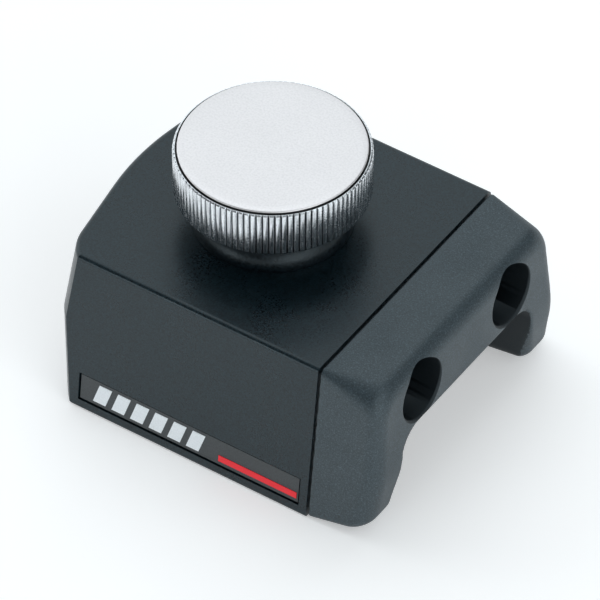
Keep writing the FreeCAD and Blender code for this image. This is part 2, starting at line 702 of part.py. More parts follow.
# ---------------------------------------------------------------- write every node
def main():
    os.makedirs("parts", exist_ok=True)
    near_strip, far_strip = both_sides(label_strip())
    near_liner, far_liner = both_sides(slide_liner())
    washer_z = STOP_Z + PLUNGER_FLANGE_T
    dowel = cyl_x(DOWEL_R, DOWEL_X[0], DOWEL_X[1], -DOWEL_Y, DOWEL_Z)
    nodes = {
        "body_block": body_block(),
        "bumper": bumper(),
        "bumper_plate": bumper_plate(),
        "bumper_screws": both_sides(bumper_screw()),
        "thread_inserts": both_sides(thread_insert()),
        "bumper_dowels": both_sides(dowel),
        "slide_liner_near": near_liner,
        "slide_liner_far": far_liner,
        "liner_screws": liner_screws(),
        "wear_pad": wear_pad(),
        "wear_pad_screws": pad_screws(),
        "guide_bush": guide_bush(),
        "barrel": barrel(),
        "flange_seal": flange_seal(),
        "lock_ring": lock_ring(),
        "collar": collar(),
        "spring_seat": tube(SPRING_SEAT_R[1], SPRING_SEAT_R[0], SPRING_TOP_Z, WEB_Z),
        "spring": spring(),
        "thrust_washer": tube(PLUNGER_FLANGE_R, ROD_R + RUNNING, washer_z, washer_z + WASHER_T),
        "plunger_pin": plunger_pin(),
        "cross_pin": cross_pin(),
        "knob_shell": knob_shell(),
        "knob_screw": knob_screw(),
        "knob_disc": knob_disc(),
        "label_strip_near": near_strip,
        "label_strip_far": far_strip,
        "label_marks": label_marks(),
        "label_stripes": label_stripes(),
    }
    for name, shape in nodes.items():
        save(name, shape)


main()
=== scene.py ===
"""Looks of the track pin stop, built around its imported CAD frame. Metres, +Z up."""
import json
import math

import bmesh
import bpy
import numpy as np
from mathutils import Matrix, Vector


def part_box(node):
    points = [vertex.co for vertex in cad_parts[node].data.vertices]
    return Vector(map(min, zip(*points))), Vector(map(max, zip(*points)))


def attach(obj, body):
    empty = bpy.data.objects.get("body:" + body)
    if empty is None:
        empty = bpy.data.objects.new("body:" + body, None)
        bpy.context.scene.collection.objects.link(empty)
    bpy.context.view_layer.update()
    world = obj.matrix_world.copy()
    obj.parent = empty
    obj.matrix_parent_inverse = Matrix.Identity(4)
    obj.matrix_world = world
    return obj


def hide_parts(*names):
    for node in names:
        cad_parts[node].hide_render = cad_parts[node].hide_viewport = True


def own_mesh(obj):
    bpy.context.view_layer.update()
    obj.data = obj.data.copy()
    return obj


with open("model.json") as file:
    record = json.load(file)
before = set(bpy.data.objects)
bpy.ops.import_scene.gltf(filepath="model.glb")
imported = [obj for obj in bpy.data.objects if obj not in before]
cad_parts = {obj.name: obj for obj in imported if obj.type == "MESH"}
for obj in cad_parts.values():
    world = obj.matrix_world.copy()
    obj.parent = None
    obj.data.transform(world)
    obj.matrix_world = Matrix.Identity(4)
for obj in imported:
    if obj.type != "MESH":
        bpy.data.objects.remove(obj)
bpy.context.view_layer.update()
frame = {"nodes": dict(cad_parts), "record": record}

MM = 0.001

# Camera: the azimuth and elevation in degrees that it looks from, and lens in millimetres
CAMERA_AZIMUTH = 34.06
CAMERA_ELEVATION = 44.19
CAMERA_DISTANCE = 1.225
CAMERA_LENS = 456.6
CAMERA_AIM = Vector((-4.255, 6.94, 6.10)) * MM

# Light panels: azimuth, elevation, half angles of full and of no light, brightness
LIGHT_TINT = (0.94, 1.0, 1.03)
TENT = 0.12
PANELS = (
    (-138, 44, 30, 52, 1.0),
    (62, 18, 12, 32, 1.5),
    (-85, 20, 12, 32, 0.8),
    (100, 42, 12, 28, 1.0),
    (-22, 4, 4, 15, 2.4),
    (0, 90, 20, 45, 0.4),
)
HORIZON = (3, 10, 0.8)        # full up to the first elevation, none above the second
FLOOR_GLOW = 0.34
FLOOR_RADIUS = 3.0
FLOOR_SEGMENTS = 24
FLOOR_GAP = 0.05              # millimetres below the part's feet

# Tint of the shine on the dark pieces, a little cooler than the light
COOL_SHINE = (0.86, 1.0, 1.06, 1.0)

# Bumper, in millimetres, with the CAD's own slopes
TOP_Z = 29.8
TOP_HALF = 24.5
SIDE_SLOPE = 0.121
END_RUN = 12.1               # saddle's end face to the crease of the bumper's end
SEAM_GAP = 0.42
TOP_DROP = math.tan(math.radians(7.0))
SIDE_TAPER = math.tan(math.radians(2.4))
FOOT_RISE = math.tan(math.radians(5.2))
CREASE_Z = 10.5              # the end face leans back above and below this height
CREASE_SOFTNESS = 0.5
UPPER_RAKE = math.tan(math.radians(2.0))
LOWER_RAKE = math.tan(math.radians(9.3))
SHOULDER_R = (0.9, 5.0)      # at the seam, at the end
END_R = (2.7, 3.6)           # at the top, at the foot
END_R_HEIGHTS = (3.0, 15.0)
FOOT_R = (0.6, 2.4)          # at the seam, at the end
LIP_R = (0.2, 2.2)           # arch's edge: at its crown, at the foot
LIP_R_HEIGHTS = (2.0, 13.0)
SEAM_R = 0.25
CHANNEL_HALF = 18.4
CHANNEL_LEAN = 0.06
CHANNEL_LEAN_Z = 13.5
CROWN_Z = 16.5
CROWN_R = 4.1
FOOT_LIFT = 0.22
SCREW_Y = 12.76
SCREW_Z = 22.3
WELL_R = 5.36
WELL_FLOOR = 1.5             # distance of a well's floor from the saddle, inside the plate
WELL_MOUTH = ((0.0, -0.25), (0.06, -0.1), (0.2, 0.03), (0.9, 0.5))   # widening, height
SHANK_R = 3.6                # just wider than the plate's screw holes
TOOL_GROWTH = (0.01, 0.03)   # of the plate and the dowels, so that the cuts don't share a face
BUMPER_GRID = 0.35
BUMPER_REACH = 28.6          # half width of the grid
GRID_MARGIN = 0.6
ARCH_SHADE_MARGIN = (1.5, 0.3)     # the arch's faces painted dark as shade reach this far past its wall and its crown

# Angle in degrees above which each new piece keeps a crisp edge, and segments round each turned one
CRISP = {"bumper": 32, "knob": 28, "collar": 40, "spring": 40, "disc": 60}
ROUND_SEGMENTS = {"well": 96, "collar": 128, "disc": 180}

# Knob, in millimetres
KNOB_R = 15.84
KNOB_Z = 36.4
KNOB_TOP_Z = 45.2
KNOB_TEETH = 100
KNOB_FOOT = ((0.6, 0.0), (0.35, 0.1), (0.1, 0.35), (0.0, 0.6))   # inset, height
KNOB_HEAD = ((0.0, 0.45), (0.1, 0.18), (0.32, 0.0))              # inset, depth under the rim
PLAIN_INSET = 0.03           # plain rings stay this far inside the knurling
CAVITY_R = 9.2
CAVITY_TOP_Z = 42.3
RECESS_R = 15.42
SCREW_BORE_R = 2.0
COUNTERSINK = (3.9, 1.9)     # radius at the recess, depth
RIM_DROP = 0.45              # the disc stands this far above the knurled rim
KNURL_SHARES = (0.0, 0.06, 0.3, 0.54, 0.6, 0.7, 0.8, 0.9, 1.0)
KNURL_DEPTHS = (0.07, 0.01, 0.0, 0.01, 0.07, 0.25, 0.42, 0.25, 0.07)
KNURL_PAINTED_SHADE = (0.65, 0.85)  # shares of a tooth whose faces get the painted shade of the groove
DISC_R = 15.1
DISC_T = 0.8
DISC_EDGE = 0.06
DISC_CROWN = 0.05
CROWN_STEPS = 12

# Rubber boot under the knob, in millimetres
FLANGE_R = 11.5              # barrel flange that the boot fits over
FLANGE_T = 1.5
BOOT_LIP = 2.5               # the boot's top reaches in this far over the flange
BOOT_FOOT = (0.12, 0.2)      # bevel of its foot: inset, height
ROLL_WIDTH = 2.8
ROLL_FOOT = 0.8              # straight wall under the rolled shoulder
COLLAR_STEPS = 14

# Spring, in millimetres
SPRING_WIRE_R = 0.4
SPRING_TURNS = 4.6
SPRING_STEPS = 260
SPRING_SIDES = 12


# ---------------------------------------------------------------- node helpers
class Nodes:
    """A material's node tree, with short calls that add and join its nodes."""

    def __init__(self, name):
        self.material = bpy.data.materials.new(name)
        self.material.use_nodes = True
        self.tree = self.material.node_tree
        self.tree.nodes.clear()
        self.shader = self.add("ShaderNodeBsdfPrincipled")
        output = self.add("ShaderNodeOutputMaterial")
        self.join(self.shader.outputs["BSDF"], output.inputs["Surface"])
        self.place = self.add("ShaderNodeTexCoord").outputs["Object"]

    def add(self, kind, **settings):
        node = self.tree.nodes.new(kind)
        for key, value in settings.items():
            setattr(node, key, value)
        return node

    def join(self, start, end):
        self.tree.links.new(start, end)

    def put(self, socket, value):
        """Set a socket to a number or colour, or join it to another socket."""
        if isinstance(value, bpy.types.NodeSocket):
            self.join(value, socket)
        else:
            socket.default_value = value

    def noise(self, size_mm, detail=2.0, roughness=0.5, stretch=None):
        """Noise whose blobs are about size_mm across."""
        node = self.add("ShaderNodeTexNoise")
        node.inputs["Scale"].default_value = 1000.0 / size_mm
        node.inputs["Detail"].default_value = detail
        node.inputs["Roughness"].default_value = roughness
        place = self.place
        if stretch:
            mapping = self.add("ShaderNodeMapping")
            mapping.inputs["Scale"].default_value = stretch
            self.join(self.place, mapping.inputs["Vector"])
            place = mapping.outputs["Vector"]
        self.join(place, node.inputs["Vector"])
        return node.outputs["Fac"]

    def ramp(self, value, stops):
        """Colour ramp through (position, colour) stops."""
        node = self.add("ShaderNodeValToRGB")
        elements = node.color_ramp.elements
        while len(elements) < len(stops):
            elements.new(1.0)
        for element, (position, colour) in zip(elements, stops):
            element.position = position
            element.color = (*colour, 1.0)
        self.join(value, node.inputs["Fac"])
        return node.outputs["Color"]

    def span(self, value, low, high, start=0.3, end=0.7):
        """Map value from start..end to low..high."""
        node = self.add("ShaderNodeMapRange")
        self.join(value, node.inputs["Value"])
        for name, number in (("From Min", start), ("From Max", end), ("To Min", low),
                             ("To Max", high)):
            node.inputs[name].default_value = number
        return node.outputs["Result"]

    def math(self, operation, a, b):
        node = self.add("ShaderNodeMath", operation=operation)
        self.put(node.inputs[0], a)
        self.put(node.inputs[1], b)
        return node.outputs[0]

    def multiply(self, a, b):
        """Product of two colours."""
        node = self.add("ShaderNodeMix", data_type="RGBA", blend_type="MULTIPLY")
        node.inputs["Factor"].default_value = 1.0
        self.join(a, node.inputs[6])
        self.join(b, node.inputs[7])
        return node.outputs[2]

    def bump(self, height, depth_mm, strength):
        node = self.add("ShaderNodeBump")
        node.inputs["Distance"].default_value = depth_mm * MM
        node.inputs["Strength"].default_value = strength
        self.join(height, node.inputs["Height"])
        return node.outputs["Normal"]

    def surface(self, **sockets):
        """Set the shader's sockets by name, with _ for a space."""
        for name, value in sockets.items():
            self.put(self.shader.inputs[name.replace("_", " ")], value)
        return self.material


# ---------------------------------------------------------------- mesh helpers
def add_object(name, mesh):
    thing = bpy.data.objects.new(name, mesh)
    bpy.context.scene.collection.objects.link(thing)
    return thing


def smooth_with_sharp_edges(mesh, degrees):
    """Smooth shading that keeps edges steeper than an angle crisp."""
    mesh.polygons.foreach_set("use_smooth", [True] * len(mesh.polygons))
    mesh.set_sharp_from_angle(angle=math.radians(degrees))
    mesh.update()


def blend(low, high, value):
    """Smooth step from 0 at low to 1 at high."""
    t = np.clip((value - low) / (high - low), 0.0, 1.0)
    return t * t * (3 - 2 * t)


def rounded(a, b, radius):
    """Greater of two distances, with a round of this radius on their shared edge."""
    inner = np.minimum(np.maximum(a, b), -radius)
    return inner + np.hypot(np.maximum(a + radius, 0.0), np.maximum(b + radius, 0.0))


def softened(a, b, width):
    """Greater of two nearly equal slopes, with their crease softened."""
    overlap = np.maximum(width - np.abs(a - b), 0.0) / width
    return np.maximum(a, b) + overlap * overlap * width / 4


def skin(field, low, high, step):
    """Quads on the surface where field(x, y, z) is zero: one vertex in each mixed grid cell."""
    axes = [np.arange(a, b + step, step) for a, b in zip(low, high)]
    value = field(*np.meshgrid(*axes, indexing="ij"))
    cells = tuple(n - 1 for n in value.shape)
    total, count = np.zeros(cells + (3,)), np.zeros(cells)
    corner = np.stack(np.meshgrid(*(np.arange(n) for n in cells), indexing="ij"), axis=-1)
    faces = []

    def part(start):
        return tuple(slice(s, s + n) for s, n in zip(start, cells))

    for axis in range(3):
        others = [k for k in range(3) if k != axis]
        for i in (0, 1):
            for j in (0, 1):
                start = [0, 0, 0]
                start[others[0]], start[others[1]] = i, j
                end = list(start)
                end[axis] += 1
                a, b = value[part(start)], value[part(end)]
                cross = (a < 0) != (b < 0)
                share = np.where(cross, a / np.where(cross, a - b, 1.0), 0.0)
                point = corner + np.array(start)
                point = point.astype(float)
                point[..., axis] += share
                total += point * cross[..., None]
                count += cross
    mixed = count > 0
    index = np.full(cells, -1)
    index[mixed] = np.arange(mixed.sum())
    points = total[mixed] / count[mixed][:, None] * step + np.array(low)
    for axis in range(3):
        u, v = (axis + 1) % 3, (axis + 2) % 3
        flipped = np.moveaxis(value, (axis, u, v), (0, 1, 2))
        cell = np.moveaxis(index, (axis, u, v), (0, 1, 2))
        a, b = flipped[:-1, 1:-1, 1:-1], flipped[1:, 1:-1, 1:-1]
        for leaving in (True, False):
            hit = (a < 0) & (b >= 0) if leaving else (a >= 0) & (b < 0)
            i, j, k = np.nonzero(hit)
            ring = [cell[i, j, k], cell[i, j + 1, k], cell[i, j + 1, k + 1], cell[i, j, k + 1]]
            faces.append(np.stack(ring if leaving else ring[::-1], axis=-1))
    return settle(field, points), np.concatenate(faces)


def settle(field, points, passes=3, reach=0.02):
    """Move points onto the field's zero surface."""
    for _ in range(passes):
        slope = np.stack([
            (field(*(points + d).T) - field(*(points - d).T)) / (2 * reach)
            for d in np.eye(3) * reach], axis=-1)
        size = np.maximum((slope * slope).sum(axis=1), 0.2)
        points = points - slope * (field(*points.T) / size)[:, None]
    return points


def solid_copy(node_name, grow):
    """A welded copy of a CAD node, grown a little in millimetres, to cut with."""
    mesh = frame["nodes"][node_name].data.copy()
    work = bmesh.new()
    work.from_mesh(mesh)
    bmesh.ops.remove_doubles(work, verts=work.verts, dist=1e-6)
    work.normal_update()
    outward = [(vert, vert.normal * vert.calc_shell_factor() * grow * MM) for vert in work.verts]
    for vert, move in outward:
        vert.co += move
    work.to_mesh(mesh)
    work.free()
    return add_object("cutter", mesh)


def lathe(profile, segments, place, closed=False):
    """Solid turned about Z from (radius, height) pairs in millimetres, then placed.

    The profile's ends are capped with flat discs, or joined to each other if it is closed.
    """
    work = bmesh.new()
    rings = []
    for r, z in profile:
        rings.append([work.verts.new(place @ (Vector((r * math.cos(a), r * math.sin(a), z)) * MM))
                      for a in (2 * math.pi * i / segments for i in range(segments))])
    for lower, upper in zip(rings, rings[1:] + rings[:1] if closed else rings[1:]):
        for i in range(segments):
            j = (i + 1) % segments
            work.faces.new((lower[i], lower[j], upper[j], upper[i]))
    if not closed:
        work.faces.new(rings[0][::-1])
        work.faces.new(rings[-1])
    mesh = bpy.data.meshes.new("cutter")
    work.to_mesh(mesh)
    work.free()
    return add_object("cutter", mesh)


def cut(thing, tools):
    """Cut the tools out of a mesh object, and remove them."""
    for tool in tools:
        cutting = thing.modifiers.new("cut", "BOOLEAN")
        cutting.operation, cutting.solver, cutting.object = "DIFFERENCE", "EXACT", tool
    bpy.context.view_layer.update()
    graph = bpy.context.evaluated_depsgraph_get()
    shape = bpy.data.meshes.new_from_object(thing.evaluated_get(graph))
    thing.modifiers.clear()
    thing.data = shape
    for tool in tools:
        bpy.data.objects.remove(tool)


# ---------------------------------------------------------------- bumper
def bumper_field(run, y, z):
    """Signed distance to the bumper: run is measured from the saddle's end face. Millimetres."""
    y = np.abs(y)
    share = np.clip(run / END_RUN, 0.0, 1.0)
    side = y - TOP_HALF - (TOP_Z - z) * SIDE_SLOPE + run * SIDE_TAPER
    top = z - TOP_Z + run * TOP_DROP
    foot = FOOT_LIFT + run * FOOT_RISE - z
    upper = run - END_RUN + (z - CREASE_Z) * UPPER_RAKE
    lower = run - END_RUN + (CREASE_Z - z) * LOWER_RAKE
    low = 1 - blend(*END_R_HEIGHTS, z)
    shape = rounded(side, top, SHOULDER_R[0] + (SHOULDER_R[1] - SHOULDER_R[0]) * share)
    shape = rounded(shape, softened(upper, lower, CREASE_SOFTNESS),
                    END_R[0] + (END_R[1] - END_R[0]) * low)
    shape = rounded(shape, foot, FOOT_R[0] + (FOOT_R[1] - FOOT_R[0]) * share)
    wall = y - CHANNEL_HALF - share * CHANNEL_LEAN * (CHANNEL_LEAN_Z - z)
    arch = rounded(wall, z - CROWN_Z, CROWN_R)
    lip = LIP_R[0] + (LIP_R[1] - LIP_R[0]) * (1 - blend(*LIP_R_HEIGHTS, z))
    shape = rounded(shape, -arch, lip)
    return rounded(shape, SEAM_GAP - run, SEAM_R)


def build_bumper(materials):
    """Moulded bumper: soft outline and lips, with crisp wells for the screws; the arch's inner faces
    and the wells are painted dark as shade.
    """
    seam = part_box("body_block")[1][0]
    low = (-0.2, -BUMPER_REACH, -GRID_MARGIN)
    high = (END_RUN + GRID_MARGIN, BUMPER_REACH, TOP_Z + GRID_MARGIN)
    points, faces = skin(bumper_field, low, high, BUMPER_GRID)
    mesh = bpy.data.meshes.new("bumper_moulding")
    mesh.from_pydata((points * MM + np.array((seam, 0, 0))).tolist(), [], faces.tolist())
    mesh.materials.append(materials["bumper_elastomer"])
    mesh.materials.append(materials["bumper_painted_shade"])
    # Faces under the arch get the near-black material: painted shade of the arch.
    for face in mesh.polygons:
        _, y, z = face.center / MM
        in_arch_shade = abs(y) < CHANNEL_HALF + ARCH_SHADE_MARGIN[0] and z < CROWN_Z + ARCH_SHADE_MARGIN[1]
        if in_arch_shade and face.normal.x < 0.5:
            face.material_index = 1
    piece = add_object("bumper_moulding", mesh)
    mouth_run = END_RUN - (SCREW_Z - CREASE_Z) * UPPER_RAKE
    tools = [solid_copy("bumper_plate", TOOL_GROWTH[0]), solid_copy("bumper_dowels", TOOL_GROWTH[1])]
    for sign in (-1, 1):
        mouth = Vector((seam + mouth_run * MM, sign * SCREW_Y * MM, SCREW_Z * MM))
        raked = Matrix.Shear("YZ", 4, (0.0, -UPPER_RAKE))
        place = Matrix.Translation(mouth) @ raked @ Matrix.Rotation(math.pi / 2, 4, "Y")
        well_floor = WELL_FLOOR - mouth_run
        profile = [(SHANK_R, -1 - mouth_run), (SHANK_R, well_floor), (WELL_R, well_floor)]
        profile += [(WELL_R + wider, height) for wider, height in WELL_MOUTH]
        tools.append(lathe(profile, ROUND_SEGMENTS["well"], place))
    # The cutters carry the near-black material, so the wells' cut faces are painted dark as shade.
    for tool in tools:
        tool.data.materials.clear()
        tool.data.materials.append(materials["bumper_elastomer"])
        tool.data.materials.append(materials["bumper_painted_shade"])
        tool.data.polygons.foreach_set("material_index", [1] * len(tool.data.polygons))
    cut(piece, tools)
    smooth_with_sharp_edges(piece.data, CRISP["bumper"])
    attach(piece, "saddle")
    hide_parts("bumper")


# ---------------------------------------------------------------- knob
def tooth_depth(share):
    """Depth of the knurling below its crest, across one tooth."""
    return np.interp(share, KNURL_SHARES, KNURL_DEPTHS)


def build_knob(materials):
    """Knurled ring of the knob, with its recess on top and its cavity beneath; the grooves and the
    recess are painted dark as shade.
    """
    centre = (Vector(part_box("knob_shell")[0]) + Vector(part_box("knob_shell")[1])) / 2
    rim = KNOB_TOP_Z - RIM_DROP
    inner = [(SCREW_BORE_R, CAVITY_TOP_Z), (CAVITY_R, CAVITY_TOP_Z), (CAVITY_R, KNOB_Z)]
    outer = [(KNOB_R - inset, KNOB_Z + height) for inset, height in KNOB_FOOT]
    outer += [(KNOB_R - inset, rim - depth) for inset, depth in KNOB_HEAD]
    seat = KNOB_TOP_Z - DISC_T
    recess = [(RECESS_R, rim), (RECESS_R, seat), (COUNTERSINK[0], seat),
              (SCREW_BORE_R, seat - COUNTERSINK[1])]
    count = KNOB_TEETH * len(KNURL_SHARES[:-1])
    shares = np.tile(KNURL_SHARES[:-1], KNOB_TEETH)
    tooth = np.repeat(np.arange(KNOB_TEETH), len(KNURL_SHARES) - 1)
    angle = 2 * math.pi * (tooth + shares) / KNOB_TEETH
    crest = KNOB_R - tooth_depth(shares)
    rings = []
    for group, profile in (("plain", inner), ("knurled", outer), ("plain", recess)):
        for r, z in profile:
            limit = crest if group == "knurled" else crest - PLAIN_INSET
            radius = np.minimum(limit, r)
            rings.append(np.stack([radius * np.cos(angle), radius * np.sin(angle),
                                   np.full(count, z)], axis=-1))
    points = np.concatenate(rings) * MM + np.array((centre.x, centre.y, 0.0))
    faces = []
    for k in range(len(rings)):
        a, b = k * count, (k + 1) % len(rings) * count
        for i in range(count):
            j = (i + 1) % count
            faces.append((a + i, a + j, b + j, b + i))
    mesh = bpy.data.meshes.new("knob_knurled_ring")
    mesh.from_pydata(points.tolist(), [], faces)
    mesh.materials.append(materials["knurled_chrome"])
    mesh.materials.append(materials["knurl_groove_painted_shade"])
    mesh.materials.append(materials["knob_recess_painted_shade"])
    knurled = range(len(inner), len(inner) + len(outer) - 1)
    index = []
    for k in range(len(rings)):
        for share in shares:
            # groove faces get the painted shade
            groove = k in knurled and KNURL_PAINTED_SHADE[0] <= share < KNURL_PAINTED_SHADE[1]
            # recess rings get the near-black painted shade of the gap under the disc
            index.append(2 if k >= len(inner) + len(outer) else 1 if groove else 0)
    mesh.polygons.foreach_set("material_index", index)
    smooth_with_sharp_edges(mesh, CRISP["knob"])
    piece = add_object("knob_knurled_ring", mesh)
    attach(piece, "plunger")
    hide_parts("knob_shell")


def build_collar(materials):
    """Rubber boot under the knob: a fat rolled shoulder round the barrel."""
    low, high = (Vector(corner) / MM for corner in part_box("collar"))
    place = Matrix.Translation(Vector((low.x + high.x, low.y + high.y, 0)) / 2 * MM)
    r, height = high.x - (low.x + high.x) / 2, high.z - low.z
    tall = height - ROLL_FOOT
    shoulder = []
    for i in range(COLLAR_STEPS + 1):
        t = math.pi / 2 * i / COLLAR_STEPS
        shoulder.append((r - ROLL_WIDTH * (1 - math.cos(t)), high.z - tall * (1 - math.sin(t))))
    bore, flange_top = FLANGE_R - BOOT_LIP, low.z + FLANGE_T
    profile = [(r - BOOT_FOOT[0], low.z), (r, low.z + BOOT_FOOT[1])] + shoulder
    profile += [(bore, high.z), (bore, flange_top), (FLANGE_R, flange_top), (FLANGE_R, low.z)]
    piece = lathe(profile, ROUND_SEGMENTS["collar"], place, closed=True)
    piece.name = piece.data.name = "collar_boot"
    piece.data.materials.append(materials["boot_rubber"])
    smooth_with_sharp_edges(piece.data, CRISP["collar"])
    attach(piece, "saddle")
    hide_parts("collar")


def build_spring(materials):
    """Coil spring in the place of the CAD spring."""
    low, high = (Vector(corner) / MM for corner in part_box("spring"))
    centre, radius = (low + high) / 2, (high.y - low.y) / 2 - SPRING_WIRE_R
    bottom, rise = low.z + SPRING_WIRE_R, high.z - low.z - 2 * SPRING_WIRE_R
    steps, sides = SPRING_STEPS, SPRING_SIDES
    points, faces = [], []
    for i in range(steps + 1):
        turn = 2 * math.pi * SPRING_TURNS * i / steps
        for k in range(sides):
            a = 2 * math.pi * k / sides
            r = radius + SPRING_WIRE_R * math.cos(a)
            z = bottom + rise * i / steps + SPRING_WIRE_R * math.sin(a)
            point = Vector((centre.x + r * math.cos(turn), centre.y + r * math.sin(turn), z)) * MM
            points.append(point[:])
    for i in range(steps):
        for k in range(sides):
            a, b = i * sides + k, i * sides + (k + 1) % sides
            faces.append((a, a + sides, b + sides, b))
    faces.append(tuple(range(sides)))
    faces.append(tuple(range(steps * sides, (steps + 1) * sides))[::-1])
    mesh = bpy.data.meshes.new("spring_coil")
    mesh.from_pydata(points, [], faces)
    mesh.materials.append(materials["spring_steel"])
    smooth_with_sharp_edges(mesh, CRISP["spring"])
    piece = add_object("spring_coil", mesh)
    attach(piece, "saddle")
    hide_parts("spring")
    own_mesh(piece)


def build_disc(materials):
    """Satin cover disc: slightly crowned, a little proud of the rim, with its edge painted dark as
    the shade of the gap round it.
    """
    low, high = (Vector(corner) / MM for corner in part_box("knob_disc"))
    place = Matrix.Translation(Vector((low.x + high.x, low.y + high.y, 0)) / 2 * MM)
    flat_r = DISC_R - 3 * DISC_EDGE
    rim = high.z - DISC_CROWN
    profile = [(DISC_R, low.z), (DISC_R, rim - 3 * DISC_EDGE), (DISC_R - DISC_EDGE, rim - DISC_EDGE),
               (flat_r, rim)]
    for i in range(1, CROWN_STEPS):
        r = flat_r * (1 - i / CROWN_STEPS)
        profile.append((r, high.z - DISC_CROWN * (r / DISC_R) ** 2))
    piece = lathe(profile, ROUND_SEGMENTS["disc"], place)
    piece.name = piece.data.name = "knob_cover_disc"
    piece.data.materials.append(materials["satin_disc"])
    piece.data.materials.append(materials["knob_recess_painted_shade"])
    # Side faces get the near-black material: painted shade of the gap round the disc.
    for face in piece.data.polygons:
        face.material_index = 1 if abs(face.normal.z) < 0.2 else 0
    smooth_with_sharp_edges(piece.data, CRISP["disc"])
    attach(piece, "plunger")
    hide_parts("knob_disc")


# ---------------------------------------------------------------- materials
def anodised_body():
    n = Nodes("anodised_body")
    grain = n.noise(0.26, detail=2.0, roughness=0.6)
    cloud = n.noise(9.0, detail=3.0)
    colour = n.ramp(grain, [(0.38, (0.0, 0.001, 0.002)), (0.64, (0.007, 0.019, 0.026))])
    rough = n.span(cloud, 0.27, 0.33)
    rough = n.math("ADD", rough, n.span(grain, -0.03, 0.03))
    return n.surface(Base_Color=colour, Roughness=rough, Specular_IOR_Level=0.47,
                     Specular_Tint=COOL_SHINE, Normal=n.bump(grain, 0.016, 0.6))


def bumper_elastomer():
    n = Nodes("bumper_elastomer")
    grain = n.noise(0.23, detail=2.0, roughness=0.6)
    cloud = n.noise(7.0, detail=4.0)
    colour = n.ramp(grain, [(0.34, (0.001, 0.003, 0.005)), (0.56, (0.014, 0.026, 0.034)),
                            (0.72, (0.048, 0.068, 0.083))])
    rough = n.span(cloud, 0.46, 0.54)
    return n.surface(Base_Color=colour, Roughness=rough, Specular_IOR_Level=0.85,
                     Specular_Tint=COOL_SHINE, Normal=n.bump(grain, 0.018, 0.7))


def boot_rubber():
    n = Nodes("boot_rubber")
    grain = n.noise(0.5, detail=3.0, roughness=0.65)
    colour = n.ramp(grain, [(0.4, (0.0, 0.001, 0.002)), (0.66, (0.004, 0.009, 0.013))])
    return n.surface(Base_Color=colour, Roughness=n.span(grain, 0.26, 0.4),
                     Specular_IOR_Level=0.45, Specular_Tint=COOL_SHINE,
                     Normal=n.bump(grain, 0.07, 0.9))


def metal(name, colour, rough, size_mm=0.3, depth_mm=0.004, stretch=None, spread=0.06):
    """A metal with fine machining grain and a slow change of tone."""
    n = Nodes(name)
    grain = n.noise(size_mm, detail=3.0, roughness=0.6, stretch=stretch)
    cloud = n.noise(5.0, detail=3.0)
    dark = tuple(c * (1 - spread) for c in colour)
    light = tuple(min(1.0, c * (1 + spread)) for c in colour)
    tone = n.ramp(cloud, [(0.3, dark), (0.7, light)])
    roughness = n.math("ADD", n.span(grain, -0.05, 0.05), n.span(cloud, rough - 0.03, rough + 0.03))
    return n.surface(Base_Color=tone, Metallic=1.0, Roughness=roughness,
                     Normal=n.bump(grain, depth_mm, 0.5))


def plastic(name, colour, rough, grain_mm=0.3, depth_mm=0.006, spread=0.2, shine=(1, 1, 1, 1)):
    n = Nodes(name)
    grain = n.noise(grain_mm, detail=3.0, roughness=0.6)
    dark = tuple(c * (1 - spread) for c in colour)
    light = tuple(c * (1 + spread) for c in colour)
    tone = n.ramp(grain, [(0.35, dark), (0.65, light)])
    return n.surface(Base_Color=tone, Roughness=n.span(grain, rough - 0.05, rough + 0.05),
                     Specular_IOR_Level=0.5, Specular_Tint=shine, Normal=n.bump(grain, depth_mm, 0.5))


def satin_disc():
    n = Nodes("satin_disc")
    grain = n.noise(0.18, detail=2.0, roughness=0.5)
    specks = n.noise(0.35, detail=1.0)
    cloud = n.noise(8.0, detail=2.0)
    tone = n.ramp(cloud, [(0.3, (0.745, 0.725, 0.73)), (0.7, (0.765, 0.745, 0.75))])
    spot = n.ramp(specks, [(0.24, (0.90, 0.90, 0.90)), (0.62, (1.0, 1.0, 1.0))])
    return n.surface(Base_Color=n.multiply(tone, spot), Metallic=1.0,
                     Roughness=n.span(grain, 0.34, 0.44), Normal=n.bump(grain, 0.006, 0.5))


def knurled_chrome(name, colour, rough, depth_mm):
    """Plated knurling with the fine pitting of the rolled teeth: bright, or dark as painted shade for
    the grooves.
    """
    n = Nodes(name)
    pits = n.noise(0.24, detail=3.0, roughness=0.65)
    streaks = n.noise(0.5, detail=2.0, stretch=(1, 1, 0.15))
    tone = n.ramp(streaks, [(0.35, tuple(0.72 * c for c in colour)), (0.6, colour)])
    roughness = n.math("ADD", n.span(pits, -0.06, 0.08), n.span(streaks, rough - 0.03, rough + 0.05))
    return n.surface(Base_Color=tone, Metallic=1.0, Roughness=roughness,
                     Normal=n.bump(pits, depth_mm, 0.8))


